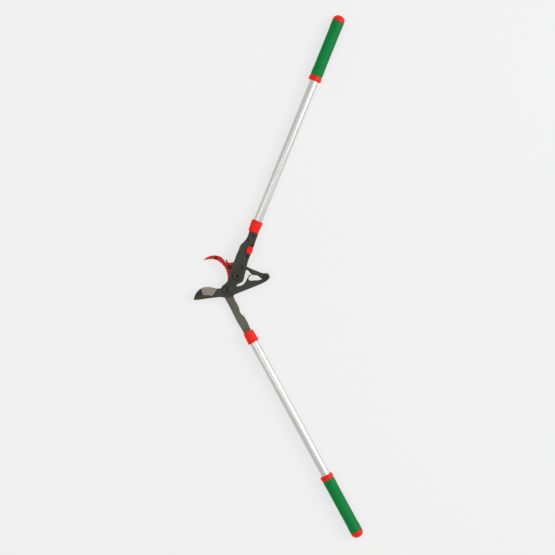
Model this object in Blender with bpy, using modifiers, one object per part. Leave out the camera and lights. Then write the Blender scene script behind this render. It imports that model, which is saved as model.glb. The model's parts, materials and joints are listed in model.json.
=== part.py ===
"""A long-handled ratchet bypass lopper, lying open on its back.

The lower handle carries the frame: the arm plate and the red hook. The upper handle is a lever of two
cheeks on the main bolt. Its drive pin pushes a notched pawl, the pawl pushes the blade's tail, and the
blade turns on its own screw to pass the hook. Lengths here are in millimetres, and MM turns them into
Blender's metres.

Origin: the centre of the main bolt's rear face. +Z runs along the bolt towards the front, +Y roughly along
the upper handle, and +X away from the jaws.
"""

import math

import bpy
from mathutils import Vector

MM = 0.001
GAP = 0.3  # between neighbours that touch

# Pivots in the plane of the tool, from the main bolt.
MAIN_BOLT = (0.0, 0.0)
BLADE_SCREW = (-25.0, -33.75)
TAIL_SCREW = (72.5, -1.25)
PAWL_TURN = -22.6  # the open pawl's direction, from the tail screw away from the drive pin
DRIVE_PIN = (26.7, -2.7)  # along the lever and to its left

# Handle directions when the tool is fully open, in degrees from +X, and each tube's offset to the left.
UPPER_ANGLE = 68.0
UPPER_OFFSET = 4.5
LOWER_ANGLE = -61.5
LOWER_OFFSET = -4.5
HANDLE_START = 116.5  # from the main bolt or the blade screw to the ferrule's mouth

# One handle, from the ferrule's mouth outwards.
FERRULE_LENGTH = 30.5
FERRULE_LIP = 8.0
TUBE_SHOWING = 377.5
COLLAR_LENGTH = 13.0
GRIP_LENGTH = 147.5
CAP_HEIGHT = 15.0
CAP_FLAT = 4.0
CAP_SKIRT = 1.5
TUBE_RADIUS = 11.5
TUBE_WALL = 1.5
FERRULE_RADII = (13.8, 14.6)
COLLAR_RADII = (16.5, 16.1)
GRIP_RADIUS = 15.5
PLUG_RADIUS = 9.6
PLUG_LENGTH = 14.0
TANG_HALF_WIDTH = 4.8
TANG_END = 165.0

# Layers through the head, back to front, and the tubes' middle plane.
NUT = (0.4, 4.2)
BACK_CHEEK = (4.5, 7.5)
FRAME_LAYER = (7.8, 11.8)
HOOK_LAYER = (12.1, 16.1)
TUBE_LEVEL = 15.75
BLADE_LAYER = (16.4, 19.9)
PAWL_LAYER = (20.2, 23.7)
FRONT_CHEEK = (24.0, 27.0)
WASHER_LAYER = (27.3, 28.5)
BOLT_HEAD = (28.8, 32.5)

# Round fixings.
BOLT_RADIUS = 4.8
BOLT_HEAD_RADIUS = 9.4
BOLT_SOCKET_RADIUS = 4.4
NUT_RADIUS = 9.0
MAIN_WASHER_RADIUS = 12.5
HUB_RADIUS = 18.75
SPACER_RADIUS = 16.5
ARM_BOSS_RADIUS = 14.0
HOOK_BOSS_RADIUS = 11.5
SCREW_RADIUS = 3.6
SCREW_HEAD_RADIUS = 9.0
BLADE_SCREW_HEAD = 3.3
BLADE_WASHER_RADIUS = 15.0
BLADE_BOSS_RADIUS = 16.0
BLADE_HUB_RADIUS = 24.0
TAIL_BOSS_RADIUS = 8.5
TAIL_SCREW_HEAD_RADIUS = 7.0
PIN_RADIUS = 3.0
RIVET_RADIUS = 2.2
HOOK_TIP_RIVET = (-52.5, 46.5)
HOOK_ROOT_RIVET = (-20.0, 22.5)
CORE_RIVETS = ((95.0, 8.0), (109.0, 0.0))

# The lock: where its knob rests along the lever, and how far it slides towards the main bolt.
LOCK = (72.0, -4.7)
LOCK_SLOT_MIDDLE = 69.0
LOCK_SLOT_HALF = 14.5
LOCK_STEM_RADIUS = 3.1

STEPS = 24


def clear_scene():
    for item in list(bpy.data.objects):
        bpy.data.objects.remove(item, do_unlink=True)


def new_collection(name):
    collection = bpy.data.collections.new(name)
    bpy.context.scene.collection.children.link(collection)
    return collection


def new_material(name, color, roughness, metallic=0.0):
    material = bpy.data.materials.new(name)
    material.use_nodes = True
    shader = material.node_tree.nodes["Principled BSDF"]
    shader.inputs["Base Color"].default_value = (*color, 1.0)
    shader.inputs["Roughness"].default_value = roughness
    shader.inputs["Metallic"].default_value = metallic
    return material


clear_scene()
PARTS = new_collection("ratchet_lopper")
STEEL_DARK = new_material("dark_steel", (0.075, 0.075, 0.066), 0.5, 0.6)
STEEL_ARM = new_material("arm_steel", (0.16, 0.145, 0.11), 0.45, 0.7)
STEEL_BRIGHT = new_material("bright_steel", (0.62, 0.60, 0.56), 0.28, 1.0)
STEEL_BLACK = new_material("black_steel", (0.03, 0.03, 0.032), 0.4, 0.8)
PAINT_RED = new_material("red_paint", (0.70, 0.02, 0.015), 0.35)
PLASTIC_RED = new_material("red_plastic", (0.80, 0.03, 0.02), 0.4)
RUBBER_GREEN = new_material("green_rubber", (0.0, 0.22, 0.065), 0.6)
ALUMINIUM = new_material("aluminium", (0.80, 0.80, 0.77), 0.35, 0.9)


def place(item, parent, material):
    """Links a piece, gives it its material and hangs it on its parent."""
    PARTS.objects.link(item)
    item.parent = parent
    item.data.materials.append(material)
    return item


def new_empty(name, parent, at, angle=0.0):
    """A guide at a pivot, turned by angle degrees about Z."""
    empty = bpy.data.objects.new(name, None)
    PARTS.objects.link(empty)
    empty.empty_display_size = 0.02
    empty.parent = parent
    empty.location = Vector(at) * MM
    empty.rotation_euler.z = math.radians(angle)
    return empty


def soften(item, width):
    """Breaks a piece's sharp rims by a narrow bevel."""
    weld = item.modifiers.new("Weld", "WELD")
    weld.merge_threshold = 0.00001
    bevel = item.modifiers.new("Bevel", "BEVEL")
    bevel.width = width * MM
    bevel.segments = 1
    bevel.limit_method = "ANGLE"
    bevel.angle_limit = math.radians(60)


def add_loop(curve, points):
    """Adds one closed Bezier loop. A point is (x, y) on a smooth stretch, or (x, y, "corner")."""
    spline = curve.splines.new("BEZIER")
    spline.bezier_points.add(len(points) - 1)
    spline.use_cyclic_u = True
    for knot, point in zip(spline.bezier_points, points):
        knot.co = (point[0] * MM, point[1] * MM, 0)
        kind = "VECTOR" if len(point) == 3 else "AUTO"
        knot.handle_left_type = kind
        knot.handle_right_type = kind


def circle(x, y, radius, count=8):
    """Points round a circle."""
    turns = [2 * math.pi * i / count for i in range(count)]
    return [(x + radius * math.cos(a), y + radius * math.sin(a)) for a in turns]


def arc(x, y, radius, start, end, count):
    """Points along an arc, from start to end in degrees."""
    turns = [math.radians(start + (end - start) * i / (count - 1)) for i in range(count)]
    return [(x + radius * math.cos(a), y + radius * math.sin(a)) for a in turns]


def capsule(x, y, half, radius):
    """A slot along the local X axis: half is from its middle to each end's centre."""
    right = arc(x + half, y, radius, -90, 90, 5)
    return right + arc(x - half, y, radius, 90, 270, 5)


def plate(name, loops, layer, material, parent, edge=0.4):
    """A flat piece: the first loop is its outline, and the others are holes through it."""
    low, high = layer
    curve = bpy.data.curves.new(name, "CURVE")
    curve.dimensions = "2D"
    curve.fill_mode = "BOTH"
    curve.resolution_u = 3
    curve.extrude = (high - low) / 2 * MM
    for loop in loops:
        add_loop(curve, loop)
    item = place(bpy.data.objects.new(name, curve), parent, material)
    item.location.z = (low + high) / 2 * MM
    soften(item, edge)
    return item


def turned(name, profile, material, parent, at=(0, 0, 0), closed=False, steps=STEPS):
    """A piece turned about its own Z axis. The (radius, height) profile runs from the top to the bottom."""
    mesh = bpy.data.meshes.new(name)
    edges = [(i, i + 1) for i in range(len(profile) - 1)]
    if closed:
        edges.append((len(profile) - 1, 0))
    mesh.from_pydata([(r * MM, 0, z * MM) for r, z in profile], edges, [])
    item = place(bpy.data.objects.new(name, mesh), parent, material)
    item.location = Vector(at) * MM
    screw = item.modifiers.new("Screw", "SCREW")
    screw.steps = steps
    screw.render_steps = steps
    screw.use_merge_vertices = True
    screw.merge_threshold = 0.00001
    screw.use_smooth_shade = True
    return item


def ring(name, inner, outer, layer, material, parent, at, edge=0.3):
    """A washer or a spacer, with its outer rims broken."""
    low, high = layer
    profile = [
        (inner, high),
        (outer - edge, high),
        (outer, high - edge),
        (outer, low + edge),
        (outer - edge, low),
        (inner, low),
    ]
    return turned(name, profile, material, parent, (*at, 0), closed=True)


def screw_fixing(name, at, bottom, seat, top, head_radius, parent, shaft):
    """A screw with a low domed head, a round recess in it, and a plain shaft."""
    recess = head_radius * 0.42
    profile = [
        (0, top - 1.2),
        (recess, top - 1.2),
        (recess + 0.5, top),
        (head_radius - 1.2, top - 0.2),
        (head_radius, top - 1.2),
        (head_radius, seat),
        (shaft, seat),
        (shaft, bottom),
        (0, bottom),
    ]
    return turned(name, profile, STEEL_BLACK, parent, (*at, 0))


def rivet(name, at, bottom, seat, top, head_radius, parent):
    """A rivet with a domed head."""
    profile = [
        (0, top),
        (head_radius * 0.55, top - 0.25),
        (head_radius, seat + 0.4),
        (head_radius, seat),
        (RIVET_RADIUS, seat),
        (RIVET_RADIUS, bottom),
        (0, bottom),
    ]
    return turned(name, profile, STEEL_BLACK, parent, (*at, 0), steps=16)


def cap_profile(radius, base):
    """The end cap's dome, from the rim of its small end face down to its edge."""
    rim = math.acos(CAP_FLAT / radius)
    rise = CAP_HEIGHT - CAP_SKIRT
    points = [(0, base + CAP_HEIGHT)]
    for i in range(8):
        turn = rim * (1 - i / 7)
        points.append((radius * math.cos(turn), base + CAP_SKIRT + rise * math.sin(turn) / math.sin(rim)))
    return points + [(radius, base)]


def handle(prefix, parent, offset):
    """One handle, along the parent's +X: ferrule, tube, grip collar, grip and end cap."""
    axis = bpy.data.objects.new(prefix + "_handle_axis", None)
    PARTS.objects.link(axis)
    axis.parent = parent
    axis.location = Vector((HANDLE_START, offset, TUBE_LEVEL)) * MM
    axis.rotation_euler.y = math.radians(90)

    bore = TUBE_RADIUS - TUBE_WALL
    sleeve = TUBE_RADIUS + GAP
    near, far = FERRULE_RADII
    collar_start = FERRULE_LENGTH + TUBE_SHOWING
    grip_start = collar_start + COLLAR_LENGTH + GAP
    grip_end = collar_start + COLLAR_LENGTH + GRIP_LENGTH
    ferrule = [
        (sleeve, FERRULE_LENGTH),
        (far - 0.8, FERRULE_LENGTH),
        (far, FERRULE_LENGTH - 0.9),
        (far - 0.1, FERRULE_LENGTH - 6),
        (near, 1.2),
        (near - 0.8, 0),
        (bore, 0),
        (bore, FERRULE_LIP),
        (sleeve, FERRULE_LIP),
    ]
    turned(prefix + "_ferrule", ferrule, PLASTIC_RED, axis, closed=True)
    tube = [
        (bore, grip_end),
        (TUBE_RADIUS, grip_end),
        (TUBE_RADIUS, FERRULE_LIP + GAP),
        (bore, FERRULE_LIP + GAP),
    ]
    turned(prefix + "_tube", tube, ALUMINIUM, axis, closed=True)
    low, high = COLLAR_RADII
    collar = [
        (sleeve, grip_start - GAP),
        (high, grip_start - GAP),
        (low, collar_start + 4),
        (low - 0.2, collar_start + 1.4),
        (low - 1.4, collar_start),
        (sleeve, collar_start),
    ]
    turned(prefix + "_grip_collar", collar, PLASTIC_RED, axis, closed=True)
    grip = [
        (sleeve, grip_end),
        (GRIP_RADIUS, grip_end),
        (GRIP_RADIUS + 0.3, grip_end - 0.35 * GRIP_LENGTH),
        (GRIP_RADIUS + 0.3, grip_start + 0.35 * GRIP_LENGTH),
        (GRIP_RADIUS, grip_start),
        (sleeve, grip_start),
    ]
    turned(prefix + "_grip", grip, RUBBER_GREEN, axis, closed=True)
    plug = [
        (PLUG_RADIUS, grip_end + GAP),
        (PLUG_RADIUS, grip_end - PLUG_LENGTH),
        (0, grip_end - PLUG_LENGTH),
    ]
    turned(prefix + "_end_cap", cap_profile(GRIP_RADIUS, grip_end + GAP) + plug, PLASTIC_RED, axis)


def lower_arm(frame):
    """The frame plate with its tongue in the lower tube, and the block on the tongue inside the tube."""
    turn = math.radians(LOWER_ANGLE)
    along = Vector((math.cos(turn), math.sin(turn)))
    left = Vector((-along.y, along.x))

    def on_arm(distance, side):
        point = Vector(BLADE_SCREW) + along * distance + left * (LOWER_OFFSET + side)
        return (point.x, point.y, "corner")

    shoulder = HANDLE_START - GAP
    half = TANG_HALF_WIDTH
    outline = [
        on_arm(TANG_END, half),
        on_arm(shoulder, half),
        on_arm(shoulder, 8.2),
        (17.5, -101.5),
        (8.2, -92.5),
        (3.8, -77.5),
        (-8.8, -52.5),
        (-9.5, -42.0),
        (-6.5, -30.0),
        (7.5, -13.5),
        *arc(0, 0, ARM_BOSS_RADIUS, -35, 105, 5),
        (-9.5, 20.5),
        *arc(*HOOK_ROOT_RIVET, 8.0, 45, 185, 4),
        (-24.0, 12.0),
        (-22.5, 2.0),
        (-23.5, -9.0),
        (-29.5, -17.5),
        *arc(*BLADE_SCREW, BLADE_BOSS_RADIUS, 145, 205, 3),
        (-33.0, -52.0),
        (-17.5, -80.0),
        (-2.5, -110.0),
        on_arm(shoulder, -10.8),
        on_arm(shoulder, -half),
        on_arm(TANG_END, -half),
    ]
    holes = [
        circle(*MAIN_BOLT, BOLT_RADIUS + GAP),
        circle(*BLADE_SCREW, SCREW_RADIUS + GAP),
        circle(*HOOK_ROOT_RIVET, RIVET_RADIUS + GAP),
    ]
    plate("lower_arm", [outline] + holes, FRAME_LAYER, STEEL_ARM, frame)
    tang = [
        on_arm(TANG_END, half),
        on_arm(shoulder, half),
        on_arm(shoulder, 8.0),
        on_arm(HANDLE_START - 4.7, 8.0),
        on_arm(HANDLE_START - 4.7, -9.0),
        on_arm(shoulder, -9.0),
        on_arm(shoulder, -half),
        on_arm(TANG_END, -half),
    ]
    layer = (FRAME_LAYER[1] + GAP, PAWL_LAYER[1])
    plate("lower_tang", [tang], layer, STEEL_ARM, frame)


def hook(frame):
    """The counter blade: a curved beak on the main bolt and a rivet, with a second rivet near its tip."""
    outline = [
        (-84.5, 41.0, "corner"),
        (-77.5, 46.3),
        (-67.5, 50.8),
        (-57.5, 52.0),
        (-47.5, 50.8),
        (-40.0, 48.0),
        (-33.8, 41.3),
        (-28.8, 35.0),
        (-22.5, 31.0),
        *arc(*HOOK_ROOT_RIVET, 8.0, 55, -15, 3),
        *arc(0, 0, HOOK_BOSS_RADIUS, 118, -140, 7),
        (-24.0, -10.0, "corner"),
        (-24.3, 2.5),
        (-26.3, 11.3),
        (-30.0, 20.0),
        (-35.0, 27.0),
        (-42.5, 34.5),
        (-50.0, 39.3),
        (-60.0, 42.5),
        (-72.5, 42.5),
        (-80.0, 41.0),
    ]
    holes = [
        circle(*MAIN_BOLT, BOLT_RADIUS + GAP),
        circle(*HOOK_TIP_RIVET, RIVET_RADIUS + GAP),
        circle(*HOOK_ROOT_RIVET, RIVET_RADIUS + GAP),
    ]
    plate("hook", [outline] + holes, HOOK_LAYER, PAINT_RED, frame, edge=0.5)
    seat = HOOK_LAYER[1] + GAP
    rivet("hook_tip_rivet", HOOK_TIP_RIVET, HOOK_LAYER[0], seat, seat + 1.6, 3.75, frame)
    rivet("hook_root_rivet", HOOK_ROOT_RIVET, FRAME_LAYER[0], seat, seat + 1.8, 5.4, frame)


def main_pivot(frame):
    """The main bolt with its washer and nut, and the thrust plate that fills the blade's layer round it."""
    low, high = BOLT_HEAD
    bolt = [
        (0, high - 2.6),
        (BOLT_SOCKET_RADIUS, high - 2.6),
        (BOLT_SOCKET_RADIUS, high - 0.3),
        (BOLT_SOCKET_RADIUS + 0.3, high),
        (BOLT_HEAD_RADIUS - 0.9, high),
        (BOLT_HEAD_RADIUS, high - 0.9),
        (BOLT_HEAD_RADIUS, low),
        (BOLT_RADIUS, low),
        (BOLT_RADIUS, 0),
        (0, 0),
    ]
    turned("main_bolt", bolt, STEEL_BLACK, frame)
    inner = BOLT_RADIUS + GAP
    ring("main_washer", inner, MAIN_WASHER_RADIUS, WASHER_LAYER, STEEL_DARK, frame, MAIN_BOLT)
    ring("main_nut", inner, NUT_RADIUS, NUT, STEEL_BLACK, frame, MAIN_BOLT, edge=0.6)
    thrust = [
        *arc(0, 0, SPACER_RADIUS, 128, -100, 9),
        *arc(*BLADE_SCREW, BLADE_HUB_RADIUS + 2.0, 54, 80, 4),
        (-20.0, -4.0),
        (-17.0, 6.0),
    ]
    loops = [thrust, circle(*MAIN_BOLT, inner)]
    plate("thrust_plate", loops, BLADE_LAYER, STEEL_DARK, frame)


def blade_pivot(frame):
    """The blade's screw, washer and nut, and the spacer between the frame and the blade."""
    inner = SCREW_RADIUS + GAP
    washer = (PAWL_LAYER[0], PAWL_LAYER[0] + 1.2)
    seat = washer[1] + GAP
    top = seat + BLADE_SCREW_HEAD
    foot = BACK_CHEEK[0]
    screw_fixing("blade_screw", BLADE_SCREW, foot, seat, top, SCREW_HEAD_RADIUS, frame, SCREW_RADIUS)
    ring("blade_washer", inner, BLADE_WASHER_RADIUS, washer, STEEL_DARK, frame, BLADE_SCREW)
    ring("blade_spacer", inner, 10.0, HOOK_LAYER, STEEL_DARK, frame, BLADE_SCREW)
    ring("blade_nut", inner, 6.5, (BACK_CHEEK[0] + 0.3, BACK_CHEEK[1]), STEEL_BLACK, frame, BLADE_SCREW)


def moved(points, origin):
    """Points of the tool's plane, measured from a pivot."""
    return [(point[0] - origin[0], point[1] - origin[1], *point[2:]) for point in points]


def blade(axis):
    """The curved blade, its round hub on the screw, and the long tail that the pawl pushes."""
    outline = [
        (-108.8, -59.0, "corner"),
        (-107.5, -52.5),
        (-103.8, -43.8),
        (-98.8, -37.0),
        (-92.5, -31.8),
        (-85.0, -28.0),
        (-75.0, -26.5),
        (-67.5, -26.8),
        (-60.0, -28.8),
        (-48.8, -31.0, "corner"),
        (-40.5, -30.0, "corner"),
        (-35.0, -24.5),
        (-30.0, -18.5),
        (-25.0, -13.0),
        *arc(*BLADE_SCREW, BLADE_HUB_RADIUS, 84, 24, 4),
        (5.0, -24.3),
        (14.0, -20.8),
        (20.3, -14.0),
        (23.8, -7.0),
        (27.0, -1.5),
        (31.0, 4.8, "corner"),
        (34.0, 2.2, "corner"),
        (30.2, -1.5),
        (28.3, -5.2),
        (29.4, -9.2),
        (34.0, -10.9),
        (42.0, -10.2),
        (51.0, -10.1),
        (57.0, -8.5),
        (63.0, -6.0),
        *arc(*TAIL_SCREW, TAIL_BOSS_RADIUS, 170, -55, 6),
        (62.5, -17.8),
        (45.0, -25.2),
        (27.5, -32.3),
        (10.0, -39.1),
        (-2.5, -44.2),
        (-8.3, -47.5),
        (-10.0, -51.3, "corner"),
        (-33.8, -53.3, "corner"),
        (-42.5, -52.2),
        (-55.0, -53.3),
        (-80.0, -56.5),
        (-105.0, -59.5),
    ]
    tail = Vector(TAIL_SCREW) - Vector(BLADE_SCREW)
    holes = [circle(0, 0, SCREW_RADIUS + GAP), circle(tail.x, tail.y, SCREW_RADIUS + GAP)]
    plate("blade", [moved(outline, BLADE_SCREW)] + holes, BLADE_LAYER, STEEL_BRIGHT, axis, edge=0.5)
    at = (tail.x, tail.y)
    foot = HOOK_LAYER[0] + 0.3
    seat, top = FRONT_CHEEK
    screw_fixing("tail_screw", at, foot, seat, top, TAIL_SCREW_HEAD_RADIUS, axis, SCREW_RADIUS)
    nut = (HOOK_LAYER[0] + 0.6, HOOK_LAYER[1])
    ring("tail_nut", SCREW_RADIUS + GAP, 5.2, nut, STEEL_BLACK, axis, at)


def pawl(axis):
    """The notched pawl, drawn from the tail's screw with the drive pin on its -X side."""
    outline = [
        *arc(0, 0, TAIL_BOSS_RADIUS, -50, 110, 5),
        (-12.8, 4.7),
        (-23.6, 4.5),
        (-39.5, 3.8),
        (-50.7, 4.6),
        (-59.0, 4.5, "corner"),
        (-61.6, 0.0),
        (-63.0, -2.8),
        (-65.5, -3.5),
        (-67.3, -2.6),
        (-71.5, 0.4, "corner"),
        (-74.0, -1.0),
        (-78.0, 0.4),
        (-82.0, 3.5, "corner"),
        (-84.6, 0.8),
        (-87.5, 0.0),
        (-91.5, 1.0, "corner"),
        (-98.0, -2.8),
        (-100.1, -3.5),
        (-104.2, -1.5),
        (-106.5, 1.0),
        (-110.5, 1.5, "corner"),
        (-108.0, -3.0),
        (-104.0, -6.3),
        (-96.0, -7.2),
        (-85.0, -8.5),
        (-66.0, -9.0),
        (-58.0, -7.0),
        (-50.1, -3.3),
        (-42.8, -5.7),
        (-35.6, -9.9, "corner"),
        (-30.0, -8.4),
        (-21.1, -6.2),
        (-15.7, -7.4),
        (-8.6, -9.3),
    ]
    holes = [circle(0, 0, SCREW_RADIUS + GAP)]
    plate("pawl", [outline] + holes, PAWL_LAYER, STEEL_DARK, axis)


def pawl_spring(axis):
    """A torsion spring round the tail's nut, with one leg standing out over the edge."""
    coil = 6.4
    wire = 0.65
    pitch = 1.5
    base = HOOK_LAYER[0] + 0.9
    points = []
    for i in range(27):
        turn = math.radians(45 - 22.5 * (26 - i))
        rise = base + pitch * i / 16
        points.append((coil * math.cos(turn), coil * math.sin(turn), rise))
    points.append((-3.2, 12.1, base + pitch * 27 / 16))
    curve = bpy.data.curves.new("pawl_spring", "CURVE")
    curve.dimensions = "3D"
    curve.bevel_depth = wire * MM
    curve.bevel_resolution = 2
    curve.use_fill_caps = True
    spline = curve.splines.new("POLY")
    spline.points.add(len(points) - 1)
    for knot, point in zip(spline.points, points):
        knot.co = (*(Vector(point) * MM), 1.0)
    place(bpy.data.objects.new("pawl_spring", curve), axis, STEEL_BRIGHT)


def cheek_outline():
    """The lever's cheek, along the handle from the main bolt: a round hub and a slightly waisted arm."""
    end = HANDLE_START - GAP
    return [
        *arc(0, 0, HUB_RADIUS, 102, 248, 7),
        (6.5, -16.4),
        (27.0, -13.4),
        (47.0, -10.6),
        (74.0, -10.8),
        (101.0, -9.2),
        (end, -8.9, "corner"),
        (end, 14.1, "corner"),
        (97.0, 13.6),
        (84.6, 17.5),
        (74.9, 21.4),
        (61.5, 21.3),
        (47.7, 22.0),
        (34.6, 21.2),
        (25.6, 22.5),
        (13.7, 19.5),
        (6.0, 18.4),
    ]


def lever(axis):
    """The upper handle's arm: two cheeks on a core, which ends in the tube's tang, and the drive pin."""
    bolt = circle(0, 0, BOLT_RADIUS + GAP)
    rivets = [circle(*at, RIVET_RADIUS + GAP) for at in CORE_RIVETS]
    slot = capsule(LOCK_SLOT_MIDDLE, LOCK[1], LOCK_SLOT_HALF, LOCK_STEM_RADIUS + GAP)
    front = [cheek_outline(), bolt, circle(*DRIVE_PIN, PIN_RADIUS + GAP), slot, *rivets]
    plate("lever_front_cheek", front, FRONT_CHEEK, STEEL_DARK, axis, edge=0.5)
    plate("lever_back_cheek", [cheek_outline(), bolt, *rivets], BACK_CHEEK, STEEL_DARK, axis)

    shoulder = HANDLE_START - GAP
    half = TANG_HALF_WIDTH
    core = [
        (88.0, -8.0, "corner"),
        (shoulder, -8.0, "corner"),
        (shoulder, UPPER_OFFSET - half, "corner"),
        (TANG_END, UPPER_OFFSET - half, "corner"),
        (TANG_END, UPPER_OFFSET + half, "corner"),
        (shoulder, UPPER_OFFSET + half, "corner"),
        (shoulder, 12.0, "corner"),
        (88.0, 13.4, "corner"),
    ]
    plate("lever_core", [core, *rivets], (FRAME_LAYER[0], PAWL_LAYER[1]), STEEL_DARK, axis)

    seat = FRONT_CHEEK[1] + GAP
    foot = PAWL_LAYER[0] + 0.2
    screw_fixing("drive_pin", DRIVE_PIN, foot, seat, seat + 1.8, 5.5, axis, PIN_RADIUS)
    for number, at in enumerate(CORE_RIVETS, 1):
        rivet(f"cheek_rivet_{number}", at, BACK_CHEEK[0], seat, seat + 1.0, 3.4, axis)


def lock(axis):
    """The sliding lock: a knob on the front cheek, its stem in the slot, and the plate behind the cheek."""
    seat = FRONT_CHEEK[1] + GAP
    plate("lock_knob", [capsule(0, 0, 2.6, 7.4)], (seat, seat + 4.0), PLASTIC_RED, axis, edge=1.2)
    low, high = FRONT_CHEEK
    stem = [(0, high), (LOCK_STEM_RADIUS, high), (LOCK_STEM_RADIUS, low), (0, low)]
    turned("lock_stem", stem, STEEL_DARK, axis, steps=16)
    plate("lock_plate", [capsule(0, 0, 8.0, 4.0)], PAWL_LAYER, STEEL_DARK, axis)


def build():
    """Lays out the tool: the frame, the lever, the blade, the pawl and the lock, each on its pivot."""
    tool = new_empty("tool", None, (0, 0, 0))
    lower_arm(tool)
    hook(tool)
    main_pivot(tool)
    blade_pivot(tool)
    handle("lower", new_empty("lower_handle_line", tool, (*BLADE_SCREW, 0), LOWER_ANGLE), LOWER_OFFSET)

    lever_axis = new_empty("lever_axis", tool, (0, 0, 0), UPPER_ANGLE)
    lever(lever_axis)
    handle("upper", lever_axis, UPPER_OFFSET)
    lock(new_empty("lock_axis", lever_axis, (*LOCK, 0)))

    blade(new_empty("blade_axis", tool, (*BLADE_SCREW, 0)))
    pawl_axis = new_empty("pawl_axis", tool, (*TAIL_SCREW, 0), PAWL_TURN)
    pawl(pawl_axis)
    pawl_spring(pawl_axis)


build()
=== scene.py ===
"""The looks of the ratchet lopper: turned and ground steel, moulded plastic, ribbed grips, a pale studio.

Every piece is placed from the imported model. Lengths written here are in millimetres, and MM turns them
into Blender's metres. The studio's and the camera's are in metres. A handle's pieces are drawn along the
handle's own X axis, which points out from the head and starts at the end cap's tip.
"""

import json
import math

import bmesh
import bpy
from mathutils import Matrix, Vector


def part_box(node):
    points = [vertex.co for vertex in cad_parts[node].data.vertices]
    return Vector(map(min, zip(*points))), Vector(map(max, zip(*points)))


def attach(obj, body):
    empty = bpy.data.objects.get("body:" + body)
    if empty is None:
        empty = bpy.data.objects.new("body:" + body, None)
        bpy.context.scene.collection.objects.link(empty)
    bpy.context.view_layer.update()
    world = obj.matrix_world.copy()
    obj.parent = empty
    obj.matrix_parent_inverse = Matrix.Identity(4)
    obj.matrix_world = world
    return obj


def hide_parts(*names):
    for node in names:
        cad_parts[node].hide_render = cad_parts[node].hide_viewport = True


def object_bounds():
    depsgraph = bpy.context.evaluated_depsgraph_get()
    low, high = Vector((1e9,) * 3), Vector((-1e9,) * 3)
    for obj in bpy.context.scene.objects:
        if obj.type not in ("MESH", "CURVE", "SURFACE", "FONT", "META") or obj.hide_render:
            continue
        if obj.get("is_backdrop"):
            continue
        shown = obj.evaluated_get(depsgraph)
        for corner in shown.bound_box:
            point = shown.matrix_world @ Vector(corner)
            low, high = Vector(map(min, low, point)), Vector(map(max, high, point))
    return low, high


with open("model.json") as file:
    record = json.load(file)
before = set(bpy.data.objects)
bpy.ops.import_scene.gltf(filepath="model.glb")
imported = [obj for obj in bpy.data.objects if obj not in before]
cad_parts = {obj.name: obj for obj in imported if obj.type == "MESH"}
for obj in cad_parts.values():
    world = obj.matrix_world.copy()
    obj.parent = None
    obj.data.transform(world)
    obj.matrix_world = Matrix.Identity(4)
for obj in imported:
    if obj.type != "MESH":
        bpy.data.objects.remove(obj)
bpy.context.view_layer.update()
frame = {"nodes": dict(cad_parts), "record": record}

NODES = frame["nodes"]
MM = 0.001
RECORD = frame["record"]
TURN = 2 * math.pi

# Linear colours. Each pair is the darkest and the lightest that a surface's patches reach.
GUNMETAL = (0.033, 0.034, 0.026), (0.056, 0.056, 0.043)
ARM_GREY = (0.085, 0.082, 0.063), (0.150, 0.143, 0.112)
BLACKENED = (0.018, 0.018, 0.016), (0.040, 0.040, 0.036)
GROUND = (0.27, 0.25, 0.205), (0.44, 0.41, 0.34)
# Rubbed rims: lighter for wear, and lighter still as a painted edge highlight.
RUBBED_AND_HIGHLIT_STEEL = (0.09, 0.09, 0.078), (0.24, 0.235, 0.21)
RUBBED_AND_HIGHLIT_ARM = (0.13, 0.125, 0.105), (0.30, 0.29, 0.25)
RUBBED_AND_HIGHLIT_RED = (0.50, 0.012, 0.008), (0.72, 0.06, 0.045)
# Painted shade in recesses: near-black.
RECESS_SHADE_BLACK = (0.008, 0.008, 0.007), (0.02, 0.02, 0.018)
BARE_WIRE = (0.10, 0.10, 0.09), (0.2, 0.2, 0.18)
PAINT_RED = (0.42, 0.005, 0.003), (0.58, 0.012, 0.008)
PLASTIC_RED = (0.80, 0.012, 0.005), (0.90, 0.016, 0.008)
GRIP_GREEN = (0.001, 0.180, 0.036), (0.001, 0.225, 0.048)
SILVER = (0.68, 0.68, 0.65), (0.76, 0.76, 0.73)
PAPER = (0.20, 0.20, 0.20), (0.204, 0.204, 0.204)
PAPER_GLOW = (0.885, 0.885, 0.885, 1)
PAPER_GLOW_STRENGTH = 0.775

# Noise stays near the middle: this much of its range is stretched over the colours and the roughness.
NOISE_RANGE = (0.3, 0.7)
BROAD_SHARE = 0.65
FINE_SHARE = 0.35
COAT_ROUGHNESS = 0.2


# ---- Materials -------------------------------------------------------------------------------


def noise(tree, coords, scale, detail=3.0, stretch=(1, 1, 1), turn=0.0):
    """A noise texture in the piece's own coordinates, stretched and turned about Z."""
    mapping = tree.nodes.new("ShaderNodeMapping")
    mapping.inputs["Scale"].default_value = stretch
    mapping.inputs["Rotation"].default_value = (0, 0, turn)
    tree.links.new(coords.outputs["Object"], mapping.inputs["Vector"])
    texture = tree.nodes.new("ShaderNodeTexNoise")
    texture.inputs["Scale"].default_value = scale
    texture.inputs["Detail"].default_value = detail
    tree.links.new(mapping.outputs["Vector"], texture.inputs["Vector"])
    return texture.outputs["Fac"]


def ramp(tree, source, colours):
    """Maps a noise value onto a pair of colours."""
    node = tree.nodes.new("ShaderNodeValToRGB")
    for element, position, colour in zip(node.color_ramp.elements, NOISE_RANGE, colours):
        element.position = position
        element.color = (*colour, 1)
    tree.links.new(source, node.inputs["Fac"])
    return node.outputs["Color"]


def spread(tree, source, limits):
    """Maps a noise value onto a pair of limits."""
    node = tree.nodes.new("ShaderNodeMapRange")
    node.inputs["From Min"].default_value, node.inputs["From Max"].default_value = NOISE_RANGE
    node.inputs["To Min"].default_value, node.inputs["To Max"].default_value = limits
    tree.links.new(source, node.inputs["Value"])
    return node.outputs["Result"]


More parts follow.
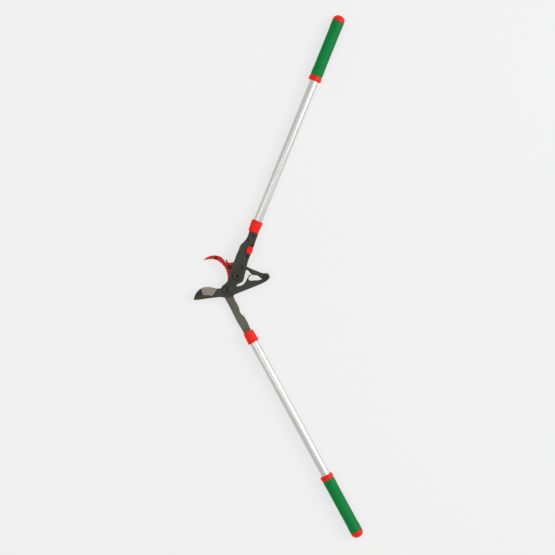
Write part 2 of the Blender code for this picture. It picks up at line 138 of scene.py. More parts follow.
def surface(
    name,
    colours,
    roughness,
    metallic=0.0,
    patch=60.0,
    grain=1500.0,
    stretch=(1, 1, 1),
    turn=0.0,
    bump=0.12,
    depth=0.00005,
    coat=0.0,
    gloss=0.5,
):
    """A procedural surface: broad patches and a fine grain vary the colour and the roughness.

    patch and grain are the two noise scales. The grain also makes the bump, which is depth metres high, and
    stretch and turn shape it.
    """
    material = bpy.data.materials.new(name)
    material.use_nodes = True
    tree = material.node_tree
    shader = tree.nodes["Principled BSDF"]
    shader.inputs["Metallic"].default_value = metallic
    shader.inputs["Coat Weight"].default_value = coat
    shader.inputs["Specular IOR Level"].default_value = gloss
    shader.inputs["Coat Roughness"].default_value = COAT_ROUGHNESS
    coords = tree.nodes.new("ShaderNodeTexCoord")
    broad = noise(tree, coords, patch, 4.0)
    fine = noise(tree, coords, grain, 2.0, stretch, turn)
    blend = tree.nodes.new("ShaderNodeMath")
    blend.operation = "MULTIPLY_ADD"
    blend.inputs[1].default_value = FINE_SHARE
    tree.links.new(fine, blend.inputs[0])
    scaled = tree.nodes.new("ShaderNodeMath")
    scaled.operation = "MULTIPLY"
    scaled.inputs[1].default_value = BROAD_SHARE
    tree.links.new(broad, scaled.inputs[0])
    tree.links.new(scaled.outputs[0], blend.inputs[2])
    tree.links.new(ramp(tree, blend.outputs[0], colours), shader.inputs["Base Color"])
    tree.links.new(spread(tree, blend.outputs[0], roughness), shader.inputs["Roughness"])
    relief = tree.nodes.new("ShaderNodeBump")
    relief.inputs["Strength"].default_value = bump
    relief.inputs["Distance"].default_value = depth
    tree.links.new(fine, relief.inputs["Height"])
    tree.links.new(relief.outputs["Normal"], shader.inputs["Normal"])
    return material


COATED = surface("coated_steel", GUNMETAL, (0.42, 0.58), 0.55, patch=45, bump=0.25)
ARM_STEEL = surface("arm_steel", ARM_GREY, (0.34, 0.5), 0.7, patch=16, bump=0.25)
BLACK_STEEL = surface("blackened_steel", BLACKENED, (0.3, 0.45), 0.7, patch=180)
BLADE_STEEL = surface(
    "blade_steel", GUNMETAL, (0.34, 0.48), 0.65, patch=35, grain=900, stretch=(1, 8, 1), bump=0.2
)
GRIND = surface(
    "ground_steel", GROUND, (0.24, 0.38), 0.9, patch=30, grain=700, stretch=(10, 1, 1), turn=0.5, bump=0.35
)
# Bevelled rims: lighter where the finish rubs off, and painted lighter still as a highlight along the edges.
WORN_AND_HIGHLIT = surface("worn_and_highlit_rim", RUBBED_AND_HIGHLIT_STEEL, (0.26, 0.4), 0.85, patch=220, bump=0.2)
ARM_WORN_AND_HIGHLIT = surface("arm_worn_and_highlit_rim", RUBBED_AND_HIGHLIT_ARM, (0.26, 0.4), 0.85, patch=220, bump=0.2)
HOOK_RIM_WEAR_AND_HIGHLIGHT = surface("hook_worn_and_highlit_rim", RUBBED_AND_HIGHLIT_RED, (0.26, 0.4), patch=220, bump=0.2, gloss=0.25)
# Painted shade: near-black for the screw heads' recesses and the blade's seam groove.
SEAM_AND_WELL_SHADE = surface("painted_recess_shade", RECESS_SHADE_BLACK, (0.6, 0.75), 0.3, patch=200)
HEAD_STEEL = surface("head_steel", GUNMETAL, (0.3, 0.45), 0.7, patch=180)
SPRING_STEEL = surface("spring_steel", BARE_WIRE, (0.25, 0.38), 0.9, patch=300)
HOOK_PAINT = surface(
    "hook_paint", PAINT_RED, (0.28, 0.42), patch=55, grain=900, bump=0.15, coat=0.06, gloss=0.22
)
RED = surface("moulded_red", PLASTIC_RED, (0.34, 0.48), patch=40, grain=2600, bump=0.3, gloss=0.2)
GREEN = surface(
    "grip_rubber", GRIP_GREEN, (0.46, 0.62), patch=30, grain=3200, bump=0.5, depth=0.00008, gloss=0.14
)
TUBE_METAL = surface(
    "drawn_tube", SILVER, (0.36, 0.42), 0.9, patch=5, grain=700, stretch=(0.01, 1, 1), bump=0.04
)
FLOOR_PAPER = surface("studio_paper", PAPER, (0.85, 0.95), patch=3, grain=400, bump=0.02, gloss=0)
glow = FLOOR_PAPER.node_tree.nodes["Principled BSDF"]
glow.inputs["Emission Color"].default_value = PAPER_GLOW
glow.inputs["Emission Strength"].default_value = PAPER_GLOW_STRENGTH


# ---- Making pieces ---------------------------------------------------------------------------

SKIN = 0.05  # between a piece and the one that it sits on


def finish_piece(name, mesh, materials, place, body, node, sharp=35.0):
    """Links a mesh as a piece that rides a body and stands for a CAD node, which it hides, and gives it the
    listed materials.
    """
    mesh.shade_smooth()
    mesh.set_sharp_from_angle(angle=math.radians(sharp))
    for material in materials:
        mesh.materials.append(material)
    piece = bpy.data.objects.new(name, mesh)
    bpy.context.scene.collection.objects.link(piece)
    piece.matrix_world = place
    bpy.context.view_layer.update()
    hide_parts(node)
    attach(piece, body)
    return piece


def round_mesh(name, profile, reach=None, segments=64, closed=False):
    """A mesh turned about the local X axis from (x, radius) points.

    reach(x, radius, angle) gives the true radius, so that a section can be a hexagon, an oval or a ribbed
    grip. A profile that ends on the axis closes there, and a closed one is a ring.
    """
    mesh = bpy.data.meshes.new(name)
    work = bmesh.new()
    rings = []
    for x, radius in profile:
        if radius <= 0:
            rings.append([work.verts.new((x * MM, 0, 0))])
            continue
        ring = []
        for i in range(segments):
            angle = TURN * i / segments
            r = reach(x, radius, angle) if reach else radius
            y, z = r * math.cos(angle), r * math.sin(angle)
            ring.append(work.verts.new((x * MM, y * MM, z * MM)))
        rings.append(ring)
    pairs = list(zip(rings, rings[1:]))
    if closed:
        pairs.append((rings[-1], rings[0]))
    for one, two in pairs:
        for i in range(segments):
            j = (i + 1) % segments
            corners = [one[i % len(one)], one[j % len(one)], two[j % len(two)], two[i % len(two)]]
            unique = list(dict.fromkeys(corners))
            if len(unique) > 2:
                work.faces.new(unique)
    bmesh.ops.recalc_face_normals(work, faces=work.faces)
    work.to_mesh(mesh)
    work.free()
    return mesh


def rounded(profile, radius=0.5, steps=3):
    """The profile with each inner corner rounded."""
    result = [profile[0]]
    for before, point, after in zip(profile, profile[1:], profile[2:]):
        here = Vector(point)
        back = Vector(before) - here
        on = Vector(after) - here
        cut = min(radius, back.length * 0.45, on.length * 0.45)
        start = here + back.normalized() * cut
        end = here + on.normalized() * cut
        for i in range(steps + 1):
            t = i / steps
            spot = start * (1 - t) ** 2 + here * 2 * t * (1 - t) + end * t**2
            result.append((spot.x, spot.y))
    result.append(profile[-1])
    return result


# ---- Where things are ------------------------------------------------------------------------


def centre(node):
    """A node's middle in the tool's plane, in metres."""
    low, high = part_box(node)
    return Vector(((low[0] + high[0]) / 2, (low[1] + high[1]) / 2, 0))


def layer(node):
    """A node's lowest and highest level, in millimetres."""
    low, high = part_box(node)
    return low[2] / MM, high[2] / MM


def wide(node):
    """Half of a round node's width, in millimetres."""
    low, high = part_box(node)
    return (high[0] - low[0]) / 2 / MM


def upright(node):
    """A place at a round fixing, with local X pointing to the tool's front."""
    return Matrix.Translation(centre(node)) @ Matrix.Rotation(math.radians(-90), 4, "Y")


def handle_place(mount):
    """A place at the end of a handle, with local X pointing out along it and local Z to the tool's front."""
    state = next(item for item in RECORD["mounts"] if item["name"] == mount)
    out = Vector(state["axis"]).normalized()
    up = Vector((0, 0, 1))
    side = up.cross(out)
    turn = Matrix((out, side, up)).transposed().to_4x4()
    return Matrix.Translation(Vector(state["pos_m"])) @ turn


def span(node, place):
    """Where a node starts and ends along a place's X axis, and its greatest radius, in millimetres."""
    inverse = place.inverted()
    points = [inverse @ vertex.co for vertex in NODES[node].data.vertices]
    along = [point.x / MM for point in points]
    radius = max(math.hypot(point.y, point.z) for point in points) / MM
    return min(along), max(along), radius


# ---- Handles ---------------------------------------------------------------------------------

TUBE_WALL = 1.5
FERRULE_LIP = 8.0
FERRULE_FLAT = 0.7
GRIP_STATIONS = 216
RIB_PITCH = 5.6
RIB_DEPTH = 0.95
RIB_MARGIN = 22.0
RIB_FADE = 6.0
RIB_WALL = (0.35, 0.8)  # the part of each wave in which a rib's side rises
INNER_FLANK = (0.34, 0.62)  # the cosines, from the flank's middle, over which the ribs fade in
OUTER_FLANK = (0.66, 0.88)
GRIP_INSET = 0.35
GRIP_ROUND = 0.9
GRIP_ROUND_RUN = 1.6
CAP_FLAT = 4.0
CAP_SKIRT = 2.2
CAP_GROOVE = 0.45
CAP_BREAK = 0.12
CAP_STEPS = 16


def smoothstep(low, high, value):
    """A smooth rise from 0 at low to 1 at high."""
    t = min(max((value - low) / (high - low), 0.0), 1.0)
    return t * t * (3 - 2 * t)


def make_tube(side, place, body):
    """The drawn tube, with its edges broken."""
    start, end, radius = span(side + "_tube", place)
    bore = radius - TUBE_WALL
    profile = rounded([(end, bore), (end, radius), (start, radius), (start, bore)], 0.3)
    mesh = round_mesh(side + "_drawn_tube", profile, closed=True, segments=72)
    finish_piece(side + "_drawn_tube", mesh, [TUBE_METAL], place, body, side + "_tube")


def make_ferrule(side, place, body):
    """The moulded ferrule: it flares from the head to the tube, with a rolled rim and two flats."""
    start, end, radius = span(side + "_ferrule", place)
    sleeve = span(side + "_tube", place)[2] + SKIN
    bore = sleeve - TUBE_WALL - 0.1
    lip = start + FERRULE_LIP
    outline = [
        (lip, bore),
        (start, bore),
        (start, radius - 2.4),
        (start + 0.9, radius - 1.5),
        (start + 9.0, radius - 1.0),
        (end - 7.0, radius - 0.25),
        (end - 6.4, radius - 0.7),
        (end - 5.4, radius - 0.7),
        (end - 4.8, radius),
        (end - 0.9, radius),
        (end, radius - 1.0),
        (end, sleeve),
        (lip, sleeve),
    ]
    profile = rounded(outline, 0.6)

    def reach(x, r, angle):
        flat = smoothstep(0.80, 0.99, abs(math.sin(angle)))
        run = smoothstep(start + 2, start + 6, x) * (1 - smoothstep(end - 11, end - 7.5, x))
        return r - FERRULE_FLAT * flat * run if r > sleeve + 0.3 else r

    mesh = round_mesh(side + "_moulded_ferrule", profile, reach, 96, closed=True)
    finish_piece(side + "_moulded_ferrule", mesh, [RED], place, body, side + "_ferrule")


def make_collar(side, place, body):
    """The red collar at the grip's inner end, with a rolled lip and a shadow line against the grip."""
    start, end, radius = span(side + "_grip_collar", place)
    sleeve = span(side + "_tube", place)[2] + SKIN
    outline = [
        (end, sleeve),
        (start + 1.2, sleeve),
        (start, sleeve + 1.2),
        (start, radius - 1.6),
        (start + 1.6, radius),
        (start + 5.0, radius),
        (end - 1.2, radius - 0.9),
        (end - 0.9, radius - 1.9),
        (end, radius - 1.9),
    ]
    mesh = round_mesh(side + "_rolled_collar", rounded(outline, 0.9, 4), segments=80, closed=True)
    finish_piece(side + "_rolled_collar", mesh, [RED], place, body, side + "_grip_collar")


def make_grip(side, place, body, inner):
    """The soft grip, with transverse ribs on its flanks. They reach further round on the inner flank.

    inner is 1 where the inner flank is on the place's +Y side, and -1 where it is on its -Y side.
    """
    start, end, radius = span(side + "_grip", place)
    sleeve = span(side + "_tube", place)[2] + SKIN
    outer = []
    for i in range(GRIP_STATIONS + 1):
        x = start + (end - start) * i / GRIP_STATIONS
        edge = min(x - start, end - x)
        outer.append((x, radius - GRIP_INSET - GRIP_ROUND * (1 - smoothstep(0, GRIP_ROUND_RUN, edge))))
    profile = [(end, sleeve), (start, sleeve)] + outer

    def reach(x, r, angle):
        if r < radius - 2:
            return r
        towards = math.cos(angle) * inner
        flank = smoothstep(*INNER_FLANK, towards) + smoothstep(*OUTER_FLANK, -towards)
        run = smoothstep(RIB_MARGIN - RIB_FADE, RIB_MARGIN, min(x - start, end - x))
        wave = 0.5 - 0.5 * math.cos(TURN * (x - start) / RIB_PITCH)
        return r - RIB_DEPTH * flank * run * smoothstep(*RIB_WALL, wave)

    mesh = round_mesh(side + "_ribbed_grip", profile, reach, 96, closed=True)
    node = side + "_grip"
    finish_piece(side + "_ribbed_grip", mesh, [GREEN], place, body, node, sharp=60)


def make_cap(side, place, body):
    """The red end cap: a dome with a small flat tip, a seam ring, and a plug inside the tube."""
    start, tip, _ = span(side + "_end_cap", place)
    base = span(side + "_grip", place)[1] + 0.15
    radius = span(side + "_grip", place)[2] - 0.4
    plug = span(side + "_tube", place)[2] - TUBE_WALL - 0.4
    skirt = base + CAP_SKIRT
    rim = math.acos(CAP_FLAT / radius)
    dome = [(tip, 0), (tip, CAP_FLAT * 0.8)]
    for i in range(CAP_STEPS + 1):
        turn = rim * (1 - i / CAP_STEPS)
        drop = CAP_BREAK if i == 0 else 0
        rise = (tip - skirt) * math.sin(turn) / math.sin(rim)
        dome.append((skirt + rise - drop, radius * math.cos(turn)))
    groove = radius - CAP_GROOVE
    seam = [(base + 1.9, radius), (base + 1.6, groove), (base + 1.1, groove), (base + 0.8, radius)]
    foot = [(base, radius), (base, plug), (start, plug), (start, 0)]
    mesh = round_mesh(side + "_domed_cap", dome + seam + foot, segments=80)
    finish_piece(side + "_domed_cap", mesh, [RED], place, body, side + "_end_cap")


for handle_side, handle_body, inner_flank in (("lower", "frame", 1), ("upper", "lever", -1)):
    handle = handle_place(handle_side + "_cap_end")
    make_tube(handle_side, handle, handle_body)
    make_ferrule(handle_side, handle, handle_body)
    make_collar(handle_side, handle, handle_body)
    make_grip(handle_side, handle, handle_body, inner_flank)
    make_cap(handle_side, handle, handle_body)


# ---- Fixings ---------------------------------------------------------------------------------


def hexagon(radius, angle):
    """The reach of a hexagon of that corner radius."""
    return radius * math.cos(math.pi / 6) / math.cos(angle % (math.pi / 3) - math.pi / 6)


def cross(arm, half_width, angle):
    """The reach of a cross-shaped recess."""
    c, s = abs(math.cos(angle)), abs(math.sin(angle))
    one = min(arm / max(c, 1e-6), half_width / max(s, 1e-6))
    two = min(arm / max(s, 1e-6), half_width / max(c, 1e-6))
    return max(one, two)


def shade_well(mesh, reach, low, high):
    """Gives a head's recess the second material, a near-black painted shade: the faces near the axis,
    between two levels.
    """
    for face in mesh.polygons:
        level, y, z = face.center / MM
        if low < level < high and math.hypot(y, z) < reach:
            face.material_index = 1


def socket_bolt(name, node, body, seat):
    """A bolt with a hexagon socket in a chamfered head, whose plain end shows at the back."""
    low, top = layer(node)
    head = wide(node)
    shaft = 4.7
    socket = 5.0
    profile = [(top - 2.6, 0), (top - 2.5, socket), (top - 0.35, socket), (top, socket + 0.35)]
    profile += rounded([(top, head - 1.6), (top, head), (seat, head)], 0.9)[1:]
    profile += [(seat, shaft), (low + 0.4, shaft), (low, shaft - 0.3), (low, 0)]

    def reach(x, r, angle):
        return hexagon(r, angle) if r <= socket + 0.36 and x > seat else r

    mesh = round_mesh(name, profile, reach, 96)
    # The socket's inside is painted with near-black shade.
    shade_well(mesh, socket + 0.1, top - 2.8, top - 0.2)
    finish_piece(name, mesh, [HEAD_STEEL, SEAM_AND_WELL_SHADE], upright(node), body, node)


def cross_screw(name, node, body, seat, shaft, dome=0.7):
    """A screw with a domed head and a cross recess."""
    low, top = layer(node)
    head = wide(node)
    arm = head * 0.52
    profile = [(top - 1.5, 0), (top - 1.5, arm - 0.4), (top - 0.15, arm)]
    for i in range(7):
        t = i / 6
        profile.append((top - dome * t**2, arm + 0.25 + (head - 0.7 - arm) * t))
    profile += rounded([profile[-1], (top - dome - 0.5, head), (seat, head), (seat, shaft)], 0.3)[1:]
    profile += [(low, shaft), (low, 0)]

    def reach(x, r, angle):
        return cross(r, head * 0.17, angle) if r <= arm + 0.01 and x > seat - 2 else r

    mesh = round_mesh(name, profile, reach, 120)
    # The cross recess is painted with near-black shade.
    shade_well(mesh, arm, top - 1.6, top - 0.1)
    finish_piece(name, mesh, [HEAD_STEEL, SEAM_AND_WELL_SHADE], upright(node), body, node)


def dome_rivet(name, node, body, seat, shaft=2.1):
    """A rivet with a rounded head and a small dimple from the punch."""
    low, top = layer(node)
    head = wide(node)
    profile = [(top - 0.35, 0), (top - 0.3, head * 0.18), (top - 0.05, head * 0.3)]
    foot = seat + 0.35
    rim = math.radians(66)
    for i in range(8):
        turn = rim * (1 - i / 7)
        rise = (top - foot) * math.sin(turn) / math.sin(rim)
        profile.append((foot + rise, head * math.cos(turn)))
    profile += [(seat, head), (seat, shaft), (low, shaft), (low, 0)]
    mesh = round_mesh(name, profile, segments=48)
    finish_piece(name, mesh, [BLACK_STEEL], upright(node), body, node)


def flat_ring(name, node, body, bore, material, six=False, groove=False):
    """A washer, a spacer or a hexagon nut, with broken edges and, where asked, a turned groove."""
    low, top = layer(node)
    outer = wide(node)
    edge = 0.3 if top - low < 2 else 0.5
    outline = [(top, bore), (top, outer), (low, outer), (low, bore)]
    if groove:
        deep = top - 0.35
        outline[1:1] = [(top, outer - 2.6), (deep, outer - 2.3), (deep, outer - 1.7), (top, outer - 1.4)]
    profile = rounded(outline, edge)

    def reach(x, r, angle):
        return hexagon(r, angle) if six and r > bore + 0.4 else r

    mesh = round_mesh(name, profile, reach, 96, closed=True)
    finish_piece(name, mesh, [material], upright(node), body, node)


BOLT_BORE = 4.8
SCREW_BORE = 3.7
SCREW_SHAFT = 3.5
PIN_SHAFT = 2.95
RIVET_SINK = 0.35
WASHER_FACE = layer("main_washer")[1] + SKIN
BLADE_WASHER_FACE = layer("blade_washer")[1] + SKIN
CHEEK_FACE = layer("lever_front_cheek")[1] + SKIN
PAWL_FACE = layer("pawl")[1] + SKIN
HOOK_FACE = layer("hook")[1] + SKIN

socket_bolt("socket_bolt", "main_bolt", "frame", WASHER_FACE)
flat_ring("pivot_washer", "main_washer", "frame", BOLT_BORE, COATED, groove=True)
flat_ring("hex_nut", "main_nut", "frame", BOLT_BORE, BLACK_STEEL, six=True)
cross_screw("blade_cross_screw", "blade_screw", "frame", BLADE_WASHER_FACE, SCREW_SHAFT)
flat_ring("blade_thrust_washer", "blade_washer", "frame", SCREW_BORE, COATED, groove=True)
flat_ring("blade_hex_nut", "blade_nut", "frame", SCREW_BORE, BLACK_STEEL, six=True)
flat_ring("blade_distance_ring", "blade_spacer", "frame", SCREW_BORE, COATED)
cross_screw("tail_cross_screw", "tail_screw", "blade", PAWL_FACE, SCREW_SHAFT)
flat_ring("tail_hex_nut", "tail_nut", "blade", SCREW_BORE, BLACK_STEEL, six=True)
cross_screw("drive_cross_screw", "drive_pin", "lever", CHEEK_FACE, PIN_SHAFT, dome=0.5)
dome_rivet("hook_tip_dome", "hook_tip_rivet", "frame", HOOK_FACE)
dome_rivet("hook_root_dome", "hook_root_rivet", "frame", HOOK_FACE)
dome_rivet("cheek_dome_1", "cheek_rivet_1", "lever", CHEEK_FACE - RIVET_SINK)
dome_rivet("cheek_dome_2", "cheek_rivet_2", "lever", CHEEK_FACE - RIVET_SINK)


# ---- Lock ------------------------------------------------------------------------------------

KNOB_HALF = 2.6
KNOB_RADIUS = 7.4


def oval(half, radius, angle):
    """The reach of a slot's shape: half is from its middle to each end's centre, along angle 0."""
    c, s = abs(math.cos(angle)), abs(math.sin(angle))
    if s * half <= c * radius - 1e-9 or s == 0:
        flat = radius / max(s, 1e-9)
        if flat * c <= half:
            return flat
        return half * c + math.sqrt(max(radius**2 - (half * s) ** 2, 0))
    return radius / s


def lock_knob():
    """The lock's knob: an oval button with a dished top and a rim, turned to lie along the lever."""
    low, top = layer("lock_knob")
    handle_turn = handle_place("upper_cap_end").to_3x3()
    out = handle_turn @ Vector((1, 0, 0))
    place = (
        Matrix.Translation(centre("lock_knob"))
        @ Matrix.Rotation(math.atan2(out.y, out.x), 4, "Z")
        @ Matrix.Rotation(math.radians(-90), 4, "Y")
    )
    dish = [(top - 0.9, 0), (top - 0.85, 0.35), (top - 0.6, 0.55), (top - 0.15, 0.72), (top, 0.78)]
    flank = [(top - 0.15, 0.86), (top - 0.7, 0.94), (top - 1.6, 0.985), (low + 0.6, 1.0)]
    foot = [(low, 0.97), (low, 0)]

    def reach(x, share, angle):
        return share * oval(KNOB_HALF, KNOB_RADIUS, angle + math.pi / 2)

    mesh = round_mesh("sliding_knob", dish + flank + foot, reach, 80)
    finish_piece("sliding_knob", mesh, [RED], place, "lock", "lock_knob")


lock_knob()


# ---- Plates ----------------------------------------------------------------------------------

TAB_LENGTH = 23.0
RIM_SLOPE = (0.3, 0.95)  # how far a bevelled rim's normal leans to the front or the back
STEP_DEPTH = 0.35
STEP_RUN = 1.6
STEP_REACH = 30.0
WELD = 0.000002  # in metres
ON_PLANE = 0.000001  # in metres


def plate_mesh(node):
    """A copy of a plate's mesh with its flat faces joined up again."""
    mesh = NODES[node].data.copy()
    mesh.materials.clear()
    work = bmesh.new()
    work.from_mesh(mesh)
    bmesh.ops.remove_doubles(work, verts=work.verts, dist=WELD)
    bmesh.ops.dissolve_limit(work, angle_limit=math.radians(1), verts=work.verts, edges=work.edges)
    work.to_mesh(mesh)
    work.free()
    return mesh


def swept_cutter(name, sections, material):
    """A closed mesh through a row of equal sections, used to cut another."""
    mesh = bpy.data.meshes.new(name)
    work = bmesh.new()
    rows = [[work.verts.new(Vector(point) * MM) for point in section] for section in sections]
    size = len(rows[0])
    for one, two in zip(rows, rows[1:]):
        for i in range(size):
            j = (i + 1) % size
            work.faces.new((one[i], one[j], two[j], two[i]))
    work.faces.new(rows[0][::-1])
    work.faces.new(rows[-1])
    bmesh.ops.recalc_face_normals(work, faces=work.faces)
    work.to_mesh(mesh)
    work.free()
    mesh.materials.append(material)
    cutter = bpy.data.objects.new(name, mesh)
    bpy.context.scene.collection.objects.link(cutter)
    return cutter


def step_cutter():
    """Lowers the front cheek's neck by a shallow pressed step, where the core begins."""
    place = handle_place("upper_cap_end")
    start = span("lever_core", place)[0]
    end = span("lever_front_cheek", place)[1] + 2
    top = layer("lever_front_cheek")[1]
    sections = []
    for x, level in ((start, top + 0.05), (start + STEP_RUN, top - STEP_DEPTH), (end, top - STEP_DEPTH)):
        section = []
        for side, z in ((-1, level), (1, level), (1, top + 1), (-1, top + 1)):
            spot = place @ Vector((x * MM, side * STEP_REACH * MM, 0)) / MM
            section.append((spot.x, spot.y, z))
        sections.append(section)
    return swept_cutter("step_cutter", sections, COATED)


def cut_mesh(name, mesh, cutters):
    """The mesh with the cutters taken from it. The cut faces keep their cutter's material."""
    work = bpy.data.objects.new(name + "_work", mesh)
    bpy.context.scene.collection.objects.link(work)
    for cutter in cutters:
        cut = work.modifiers.new(cutter.name, "BOOLEAN")
        cut.operation = "DIFFERENCE"
        cut.solver = "EXACT"
        cut.object = cutter
        cut.material_mode = "TRANSFER"
    bpy.context.view_layer.update()
    graph = bpy.context.evaluated_depsgraph_get()
    shape = bpy.data.meshes.new_from_object(work.evaluated_get(graph))
    shape.name = name
    for helper in [work, *cutters]:
        bpy.data.objects.remove(helper, do_unlink=True)
    return shape


def on_rim(face):
    """Whether a face is part of a plate's bevelled rim."""
    return RIM_SLOPE[0] < abs(face.normal.z) < RIM_SLOPE[1]


def wear_and_highlight_rims(mesh, index):
    """Gives the narrow bevelled rims their own material, lighter for wear and as a painted highlight."""
    for face in mesh.polygons:
        if on_rim(face):
            face.material_index = index


def dressed_plate(name, node, material, body, rim=None, cutter=None):
    """A plate with soft-shaded rims, worn bright where the finish rubs off and painted lighter as an edge
    highlight.
    """
    mesh = plate_mesh(node)
    if cutter:
        mesh.materials.append(material)
        mesh = cut_mesh(name, mesh, [cutter])
        mesh.materials.clear()
        mesh.polygons.foreach_set("material_index", [0] * len(mesh.polygons))
    materials = [material, rim] if rim else [material]
    piece = finish_piece(name, mesh, materials, Matrix(), body, node, sharp=80)
    if rim:
        wear_and_highlight_rims(mesh, 1)
    weights = piece.modifiers.new("Weights", "WEIGHTED_NORMAL")
    weights.keep_sharp = True
    return piece


def paint_pawl_tip(pawl):
    """Paints the release tab at the pawl's far end red, where it shows beyond the lever."""
    pawl.data.materials.append(HOOK_PAINT)
    tail = centre("tail_screw")
    tab = min((vertex.co for vertex in pawl.data.vertices), key=lambda spot: spot.x)
    back = Vector((tail.x - tab.x, tail.y - tab.y, 0)).normalized()
    line = Vector((tab.x, tab.y, 0)) + back * TAB_LENGTH * MM
    work = bmesh.new()
    work.from_mesh(pawl.data)
    everything = work.verts[:] + work.edges[:] + work.faces[:]
    bmesh.ops.bisect_plane(work, geom=everything, plane_co=line, plane_no=back, dist=ON_PLANE)
    for face in work.faces:
        if (face.calc_center_median() - line).dot(back) < 0:
            face.material_index = 2
    work.to_mesh(pawl.data)
    work.free()


dressed_plate("front_cheek", "lever_front_cheek", COATED, "lever", WORN_AND_HIGHLIT, step_cutter())
dressed_plate("back_cheek", "lever_back_cheek", COATED, "lever", WORN_AND_HIGHLIT)
dressed_plate("core_block", "lever_core", COATED, "lever")
dressed_plate("thrust_face", "thrust_plate", COATED, "frame")
dressed_plate("arm_plate", "lower_arm", ARM_STEEL, "frame", ARM_WORN_AND_HIGHLIT)
dressed_plate("arm_tang", "lower_tang", ARM_STEEL, "frame")
dressed_plate("lock_slide_plate", "lock_plate", COATED, "lock")
dressed_plate("counter_hook", "hook", HOOK_PAINT, "frame", HOOK_RIM_WEAR_AND_HIGHLIGHT)
paint_pawl_tip(dressed_plate("notched_pawl", "pawl", COATED, "pawl", WORN_AND_HIGHLIT))
dressed_plate("lock_pin", "lock_stem", BLACK_STEEL, "lock")
dressed_plate("return_spring", "pawl_spring", SPRING_STEEL, "pawl")


# ---- Blade -----------------------------------------------------------------------------------

# Where the grind starts at the cutting edge, and where it meets the blade's face, from the tip to the seam.
GRIND_EDGE = [
    (-109.2, -60.5),
    (-107.6, -52.5),
    (-103.8, -43.8),
    (-98.8, -37.0),
    (-92.5, -31.8),
    (-85.0, -28.0),
    (-75.0, -26.5),
    (-67.5, -26.8),
    (-60.0, -28.8),
    (-49.4, -30.9),
]
GRIND_INNER = [
    (-106.6, -60.5),
    (-104.2, -54.0),
    (-99.5, -49.6),
    (-94.0, -47.8),
    (-88.5, -47.3),
    (-82.5, -47.3),
    (-76.5, -47.5),
    (-71.0, -47.8),
    (-66.0, -48.1),
    (-60.5, -48.4),
]
EDGE_LAND = 0.6
TIP_LINE = -97.5
TIP_LEAN = 0.25
SEAM_START = (-48.6, -29.6)
SEAM_END = (-61.0, -49.0)
SEAM_HALF = 0.8


def smooth_line(points, steps=6):
    """Points along a smooth curve through these."""
    ends = [points[0]] + list(points) + [points[-1]]
    line = []
    for a, b, c, d in zip(ends, ends[1:], ends[2:], ends[3:]):
        a, b, c, d = Vector(a), Vector(b), Vector(c), Vector(d)
        for i in range(steps):
            t = i / steps
            square = (2 * a - 5 * b + 4 * c - d) * t**2
            cube = (3 * b - a - 3 * c + d) * t**3
            line.append(0.5 * (2 * b + (c - a) * t + square + cube))
    line.append(Vector(points[-1]))
    return line


def grind_cutter():
    """The wedge that grinds the cutting edge. Its sloping side runs from the edge to the front face."""
    low, top = layer("blade")
    base = low + EDGE_LAND
    sections = []
    for outer, inner in zip(smooth_line(GRIND_EDGE), smooth_line(GRIND_INNER)):
        width = (outer - inner).length
        away = (outer - inner) / width
        slope = (top - base) / width
        far = outer + away * 3
        near = inner - away * 0.5
        sections.append([
            (far.x, far.y, base - 3 * slope),
            (near.x, near.y, top + 0.5 * slope),
            (far.x, far.y, top + 2),
        ])
    return swept_cutter("grind_cutter", sections, GRIND)


def seam_cutter():
    """The groove across the blade where the grind stops: deep at the cutting edge, and running out."""
    low, top = layer("blade")
    start, end = Vector(SEAM_START), Vector(SEAM_END)
    run = (end - start).normalized()
    across = Vector((-run.y, run.x)) * SEAM_HALF
    sections = []
    for spot, level in ((start - run, low + 0.9), (start.lerp(end, 0.75), top - 1.2), (end, top - 0.1)):
        left, right = spot + across, spot - across
        sections.append([
            (left.x, left.y, top + 1),
            (left.x, left.y, level),
            (right.x, right.y, level),
            (right.x, right.y, top + 1),
        ])
    # The groove's cut faces take the near-black painted shade.
    return swept_cutter("seam_cutter", sections, SEAM_AND_WELL_SHADE)


def darken_tip(mesh):
    """Gives the grind beyond the tip line the blade's own dark finish."""
    names = [material.name for material in mesh.materials]
    bright, dark = names.index(GRIND.name), names.index(BLADE_STEEL.name)
    work = bmesh.new()
    work.from_mesh(mesh)
    everything = work.verts[:] + work.edges[:] + work.faces[:]
    line = Vector((TIP_LINE * MM, 0, 0))
    back = Vector((1, TIP_LEAN, 0))
    bmesh.ops.bisect_plane(work, geom=everything, plane_co=line, plane_no=back, dist=ON_PLANE)
    for face in work.faces:
        beyond = (face.calc_center_median() - line).dot(back) < 0
        if face.material_index == bright and beyond:
            face.material_index = dark
    work.to_mesh(mesh)
    work.free()


def make_blade():
    """The blade with its ground edge and the seam behind it."""
    mesh = plate_mesh("blade")
    mesh.materials.append(BLADE_STEEL)
    shape = cut_mesh("ground_blade", mesh, [grind_cutter(), seam_cutter()])
    # The blade's bevelled rims are painted lighter, for wear and as an edge highlight.
    shape.materials.append(WORN_AND_HIGHLIT)
    for face in shape.polygons:
        if shape.materials[face.material_index] == BLADE_STEEL and on_rim(face):
            face.material_index = len(shape.materials) - 1
    darken_tip(shape)
    finish_piece("ground_blade", shape, [], Matrix(), "blade", "blade", sharp=12)


make_blade()


# ---- Studio ----------------------------------------------------------------------------------

# The photograph looks straight down. Its middle and width are in metres in the tool's plane.
VIEW_CENTRE = (0.1005, -0.0032)
VIEW_WIDTH = 1.3875
VIEW_HEIGHT = 5.0
SENSOR = 36.0

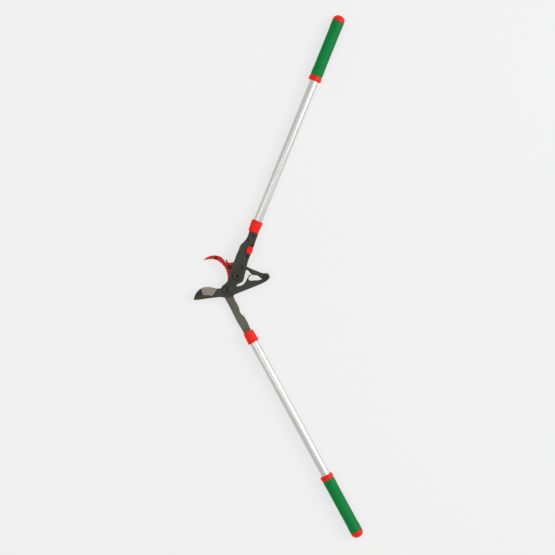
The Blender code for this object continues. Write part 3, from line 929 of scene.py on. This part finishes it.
FLOOR_HALF = 6.0
FLOOR_GAP = 0.0002
WORLD_STRENGTH = 0.56
LAMP_AIM = (0.1, 0, 0)
# Name, width, length, watts and place of each lamp: a large key on the right, and a strip that puts the
# shine along the tubes.
SOFTBOXES = (
    ("soft_key", 3.0, 4.0, 190.0, (4.6, 1.2, 3.6)),
    ("tube_strip", 0.60, 4.0, 30.0, (-1.9, 0.0, 4.4)),
)


def studio():
    """A pale paper floor, even light all round, and the softboxes."""
    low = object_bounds()[0]
    mesh = bpy.data.meshes.new("floor")
    half = FLOOR_HALF
    corners = [(-half, -half, 0), (half, -half, 0), (half, half, 0), (-half, half, 0)]
    mesh.from_pydata(corners, [], [(0, 1, 2, 3)])
    mesh.materials.append(FLOOR_PAPER)
    floor = bpy.data.objects.new("floor", mesh)
    floor.location.z = low[2] - FLOOR_GAP
    bpy.context.scene.collection.objects.link(floor)
    floor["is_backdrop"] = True

    world = bpy.data.worlds.new("studio")
    bpy.context.scene.world = world
    world.use_nodes = True
    backdrop = world.node_tree.nodes["Background"]
    backdrop.inputs["Color"].default_value = (1.0, 1.0, 1.0, 1)
    backdrop.inputs["Strength"].default_value = WORLD_STRENGTH

    for name, width, length, energy, location in SOFTBOXES:
        lamp = bpy.data.lights.new(name, "AREA")
        lamp.shape = "RECTANGLE"
        lamp.size = width
        lamp.size_y = length
        lamp.energy = energy
        box = bpy.data.objects.new(name, lamp)
        bpy.context.scene.collection.objects.link(box)
        box.location = location
        aim = Vector(LAMP_AIM) - box.location
        box.rotation_euler = aim.to_track_quat("-Z", "Y").to_euler()


def camera():
    """The camera straight above the tool, with the view's width measured at the tubes' level."""
    lens = bpy.data.cameras.new("photo_camera")
    lens.sensor_width = SENSOR
    middle = sum(layer("lever_core")) / 2 * MM
    lens.lens = SENSOR * (VIEW_HEIGHT - middle) / VIEW_WIDTH
    item = bpy.data.objects.new("photo_camera", lens)
    bpy.context.scene.collection.objects.link(item)
    item.location = (*VIEW_CENTRE, VIEW_HEIGHT)
    bpy.context.scene.camera = item


studio()
camera()
bpy.context.scene.view_settings.view_transform = "Standard"
